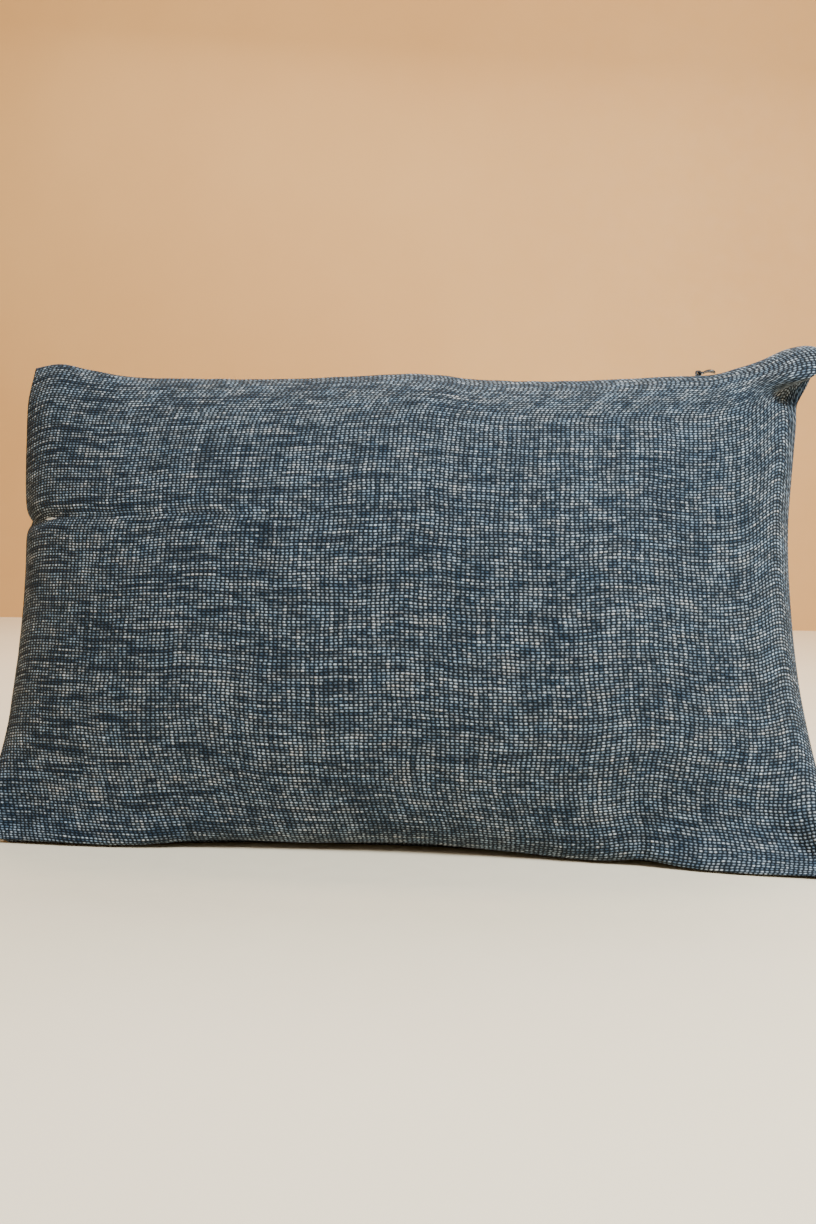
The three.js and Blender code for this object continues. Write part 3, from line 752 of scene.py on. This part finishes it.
def coil_plastic():
    n = Nodes("zip_coil")
    place = n.add("ShaderNodeTexCoord").outputs["Object"]
    scuff = n.noise(place, 900, 3, 0.6)
    colour = n.ramp(scuff, [(0.3, linear(30, 38, 48)), (0.75, linear(62, 72, 84))])
    return n.finish(colour, n.remap(scuff, 0.3, 0.7, 0.3, 0.5), n.bump(scuff, 0.00005))


def enamelled_metal():
    """Dark enamel, worn to bright metal in small patches."""
    n = Nodes("zip_metal")
    place = n.add("ShaderNodeTexCoord").outputs["Object"]
    broad = n.noise(place, 420, 3, 0.6)
    fine = n.noise(place, 2600, 2)
    worn = n.remap(n.math("ADD", broad, n.math("MULTIPLY", fine, 0.15)), 0.66, 0.72)
    colour = n.mix(worn, (*linear(46, 49, 54), 1), (*linear(150, 148, 142), 1))
    return n.finish(colour, n.remap(fine, 0.3, 0.7, 0.28, 0.45), n.bump(broad, 0.00005),
                    Metallic=n.remap(worn, 0, 1, 0.7, 1.0))


def satin_label():
    n = Nodes("label_cloth")
    u, v = n.uv()
    float_line = n.math("SINE", n.math("MULTIPLY", v, 2 * math.pi / 0.0003))
    grain = n.noise(n.vector(n.math("MULTIPLY", u, 400), n.math("MULTIPLY", v, 3000)), 1, 2)
    tone = n.math("ADD", n.math("MULTIPLY", float_line, 0.15), grain)
    colour = n.ramp(tone, [(0.3, linear(222, 220, 214)), (0.7, linear(248, 247, 244))])
    return n.finish(colour, n.remap(grain, 0.3, 0.7, 0.4, 0.6), n.bump(tone, 0.00005), Sheen_Weight=0.3)


def loose_fibre():
    """Crimped white fibre packed in tufts."""
    n = Nodes("fibre")
    place = n.add("ShaderNodeTexCoord").outputs["Object"]
    tuft = n.noise(place, 60, 4, 0.7, 1.5)
    strand = n.noise(place, 700, 3, 0.7, 2.0)
    colour = n.ramp(n.math("MULTIPLY", n.math("ADD", tuft, strand), 0.5),
                    [(0.3, linear(214, 212, 206)), (0.7, linear(250, 249, 246))])
    normal = n.bump(strand, 0.0005, 0.8, n.bump(tuft, 0.002))
    return n.finish(colour, n.remap(strand, 0.3, 0.7, 0.9, 1.0), normal, Sheen_Weight=0.4,
                    Subsurface_Weight=0.1)


cover_cloth = chenille_cloth()
pad_cloth = casing_cloth()
blue_thread = sewing_thread("cover_thread", linear(30, 42, 56), linear(76, 92, 108))
white_thread = sewing_thread("casing_thread", linear(216, 213, 204), linear(246, 244, 238))
tape_material = tape_cloth()
plastic = coil_plastic()
metal = enamelled_metal()

for side, name in ((1, "front"), (-1, "back")):
    outer = grids[side]
    cover = shell(f"cover_{name}", outer, outer - COVER_CLOTH * normals_of(outer, side), side)
    soft_piece(cover, f"cover_{name}_panel", cover_cloth)
    pad = shell(f"pad_{name}", pad_layer(side, PAD_OFFSET, 2), pad_layer(side, PAD_OFFSET + CASING_CLOTH, 2),
                side)
    soft_piece(pad, f"pad_casing_{name}", pad_cloth)

fill_grids = [pad_layer(side, FILL_OFFSET, 4) for side in (1, -1)]
fill = closed_mesh("filling", *fill_grids)[0]
soft_piece(fill, "fibre_fill", loose_fibre())


# ---- Seams ----

def cover_seam():
    """The seam's line in the cover's groove, from the zip's left end round the floor to its right end."""
    middle = (grids[1] + grids[-1]) / 2
    rim = rim_of(ROWS + 1, COLUMNS + 1)
    line = middle.reshape(-1, 3)[rim]
    is_zip = (rim // (COLUMNS + 1) == ROWS) & (np.abs(line[:, 0]) < ZIP_HALF_LENGTH + 0.002)
    first = np.flatnonzero(is_zip).max() + 1
    line, is_zip = np.roll(line, -first, axis=0), np.roll(is_zip, -first)
    return line[~is_zip]


def pad_seam():
    layers = [pad_layer(side, PAD_OFFSET, 2) for side in (1, -1)]
    middle = (layers[0] + layers[1]) / 2
    return middle.reshape(-1, 3)[rim_of(*middle.shape[:2])]


soft_piece(stitches("cover_seam_stitches", cover_seam(), pitch=0.0027, length=0.0023,
                    radius=THREAD_RADIUS, sink=0.0006, slant=0.0003),
           "cover_seam_thread", blue_thread)
pad_line = pad_seam()
is_hand_sewn = (pad_line[:, 1] < -0.14) & (pad_line[:, 0] > -0.14) & (pad_line[:, 0] < 0)
hand_first, hand_last = np.flatnonzero(is_hand_sewn)[[0, -1]]
machine_line = np.concatenate([pad_line[hand_last:], pad_line[:hand_first + 1]])
soft_piece(stitches("pad_seam_stitches", machine_line, pitch=0.003, length=0.0026,
                    radius=THREAD_RADIUS, sink=0.0004),
           "pad_seam_thread", white_thread)
soft_piece(stitches("pad_closing_stitches", pad_line[hand_first:hand_last + 1], pitch=0.0046,
                    length=0.004, radius=THREAD_RADIUS, sink=0.0004, slant=0.0006),
           "pad_closing_thread", white_thread)


# ---- The zip ----

def coil_teeth(name, side):
    """One coil wound from a single plastic wire, a little flatter than it is wide."""
    turns = int(2 * COIL_END / COIL_PITCH)
    angle = np.linspace(0, 2 * math.pi * turns, turns * 12 + 1)
    reach = COIL_RADIUS - COIL_WIRE
    x = np.linspace(-COIL_END, COIL_END, len(angle))
    y = ZIP_LINE + 0.9 * reach * np.sin(angle)
    z = side * (COIL_SPACING + reach * np.cos(angle))
    return tubes(name, [np.stack([x, y, z], -1)], COIL_WIRE, 6)


def tape(name, side):
    """A woven tape, flat beside its coil and then bent down into the cover, with a thicker selvedge."""
    bend = [(0.0028, 0), (0.004, 0), (0.005, -0.0001), (0.006, -0.0008), (0.0106, -0.0047)]
    place = np.linspace(0, 1, 25)
    run = np.linspace(0, 1, len(bend))
    z = np.interp(place, run, [b[0] for b in bend])
    y = np.interp(place, run, [b[1] for b in bend])
    x = np.linspace(-ZIP_HALF_LENGTH, ZIP_HALF_LENGTH, 320)
    ripple = 0.00012 * waves(x[None] / 0.006, place[:, None] * 3, 51) * place[:, None]
    middle = np.stack(np.broadcast_arrays(x[None], ZIP_LINE + y[:, None] + ripple, side * z[:, None]), -1)
    selvedge = 0.0003 - 0.00012 * smoothstep(np.abs(place - 0.55), 0.1, 0.35)
    selvedge[-2:] = 0.0003
    lift = selvedge[:, None, None] * normals_of(middle, 1)
    top, under = (middle + lift, middle - lift)
    flipped = normals_of(middle, 1)[0, 0, 1] < 0
    return shell(name, top, under, -1 if flipped else 1)


for name, side in (("front", 1), ("back", -1)):
    soft_piece(tape(f"tape_{name}", side), f"zip_tape_{name}", tape_material)
    soft_piece(coil_teeth(f"coil_{name}", side), f"zip_coil_{name}", plastic)
    ends = np.array([[-0.232, ZIP_LINE - 0.0022, side * 0.0094], [0.232, ZIP_LINE - 0.0022, side * 0.0094]])
    soft_piece(stitches(f"tape_stitches_{name}", ends, pitch=0.0027, length=0.0024,
                        radius=THREAD_RADIUS, sink=0.0002),
               f"zip_tape_thread_{name}", blue_thread)


def end_tack(name, x):
    """Close stitches over the two cloth edges at an end of the zip."""
    height = np.interp(x, grids[1][-1, :, 0], grids[1][-1, :, 1])
    across = np.linspace(-0.0014, 0.0014, 6)
    arch = 0.0001 - 0.0012 * np.abs(across / 0.0014) ** 3
    steps = x + np.linspace(-0.0009, 0.0009, 7)
    return tubes(name, [np.stack([np.full(6, step), height + arch, across], -1) for step in steps], 0.00017)


soft_piece(end_tack("end_tack_left", -TACK_PLACE), "zip_end_tack_left", blue_thread)
soft_piece(end_tack("end_tack_right", TACK_PLACE), "zip_end_tack_right", blue_thread)

for node in ("zip_slider", "zip_pull", "zip_stop_closed_end", "zip_stop_open_end"):
    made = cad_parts[node]
    made.data.materials.clear()
    made.data.materials.append(metal)
    rounding = made.modifiers.new("rounded edges", "BEVEL")
    rounding.width = 0.00012
    rounding.segments = 2
    rounding.limit_method = "ANGLE"


def label():
    """A blank folded ribbon that stands out of the pad's left seam and curls a little."""
    line = pad_line[(pad_line[:, 0] < -0.2) & (np.abs(pad_line[:, 1] + 0.06) < 0.03)]
    line = line[np.argsort(line[:, 1])]
    y = np.linspace(-0.073, -0.047, 27)
    root = np.interp(y, line[:, 1], line[:, 0])
    root_z = np.interp(y, line[:, 1], line[:, 2])
    out = np.linspace(0.0005, 0.0055, 9)
    curl = 0.0012 * (out / 0.0055) ** 2
    middle = np.stack(np.broadcast_arrays(root - out[:, None], y[None], root_z + curl[:, None]), -1)
    normal = normals_of(middle, 1)
    return shell("label", middle + 0.0002 * normal, middle - 0.0002 * normal, 1)


soft_piece(label(), "pad_label", satin_label())


# ---- Floor, backdrop, light and camera ----

def plain_surface(name, colour, dark, scale):
    n = Nodes(name)
    place = n.add("ShaderNodeTexCoord").outputs["Object"]
    broad = n.noise(place, scale, 4, 0.6)
    fine = n.noise(place, scale * 40, 2)
    tint = n.mix(n.remap(broad, 0.3, 0.7), (*colour, 1), (*dark, 1))
    return n.finish(tint, n.remap(fine, 0.2, 0.8, 0.5, 0.7), n.bump(fine, 0.0004, 0.5))


def plane(name, corners, material):
    data = bpy.data.meshes.new(name)
    data.from_pydata(corners, [], [(0, 1, 2, 3)])
    made = bpy.data.objects.new(name, data)
    bpy.context.scene.collection.objects.link(made)
    data.materials.append(material)
    return made


WALL_Y = 1.95
plane("floor", [(-6, -4, 0), (6, -4, 0), (6, WALL_Y, 0), (-6, WALL_Y, 0)],
      plain_surface("floor", linear(248, 233, 206), linear(243, 226, 197), 1.5))
plane("backdrop", [(-6, WALL_Y, 0), (6, WALL_Y, 0), (6, WALL_Y, 5), (-6, WALL_Y, 5)],
      plain_surface("backdrop", linear(230, 182, 120), linear(220, 170, 108), 1.2))


def area_light(name, place, aim, size, power, colour):
    data = bpy.data.lights.new(name, "AREA")
    data.shape = "RECTANGLE"
    data.size, data.size_y = size
    data.energy = power
    data.color = colour
    made = bpy.data.objects.new(name, data)
    made.location = place
    made.visible_camera = False
    made.rotation_euler = (Vector(aim) - Vector(place)).to_track_quat("-Z", "Y").to_euler()
    bpy.context.scene.collection.objects.link(made)
    return made


area_light("overhead", (0.15, 1.25, 1.75), (0, 0, 0), (2.4, 0.8), 38, (1, 0.98, 0.94))
area_light("front_right", (0.85, -0.8, 1.4), (0, 0, 0.17), (0.7, 0.7), 59, (0.82, 0.93, 1))
area_light("front_top", (0.1, -1.8, 2.0), (0, -0.5, 0), (2.4, 1.2), 16, (1, 0.93, 0.85))
area_light("wall_wash", (0, 0.9, 2.6), (0, WALL_Y, 1.0), (3, 0.6), 38, (1, 0.78, 0.5))

world = bpy.data.worlds.new("studio")
world.use_nodes = True
world.node_tree.nodes["Background"].inputs[0].default_value = (1, 0.7, 0.38, 1)
world.node_tree.nodes["Background"].inputs[1].default_value = 0.24
bpy.context.scene.world = world

PHOTO_HEIGHT = 1224
FOCAL = 1283
YAW, PITCH, ROLL = math.radians(5.77), math.radians(4.1), math.radians(0.51)
DISTANCE = 0.956
TARGET = Vector((0.0044, 0, 0.1679))

camera_data = bpy.data.cameras.new("camera")
camera_data.sensor_width = 36
camera_data.lens = 36 * FOCAL / PHOTO_HEIGHT
camera = bpy.data.objects.new("camera", camera_data)
bpy.context.scene.collection.objects.link(camera)
ahead = Vector((-math.sin(YAW) * math.cos(PITCH), math.cos(YAW) * math.cos(PITCH), -math.sin(PITCH)))
right = ahead.cross(Vector((0, 0, 1))).normalized()
level = right.cross(ahead)
right = right * math.cos(ROLL) + level * math.sin(ROLL)
above = right.cross(ahead)
camera.matrix_world = Matrix.Translation(TARGET - ahead * DISTANCE) @ Matrix((
    (right.x, above.x, -ahead.x, 0), (right.y, above.y, -ahead.y, 0), (right.z, above.z, -ahead.z, 0),
    (0, 0, 0, 1)))
bpy.context.scene.camera = camera
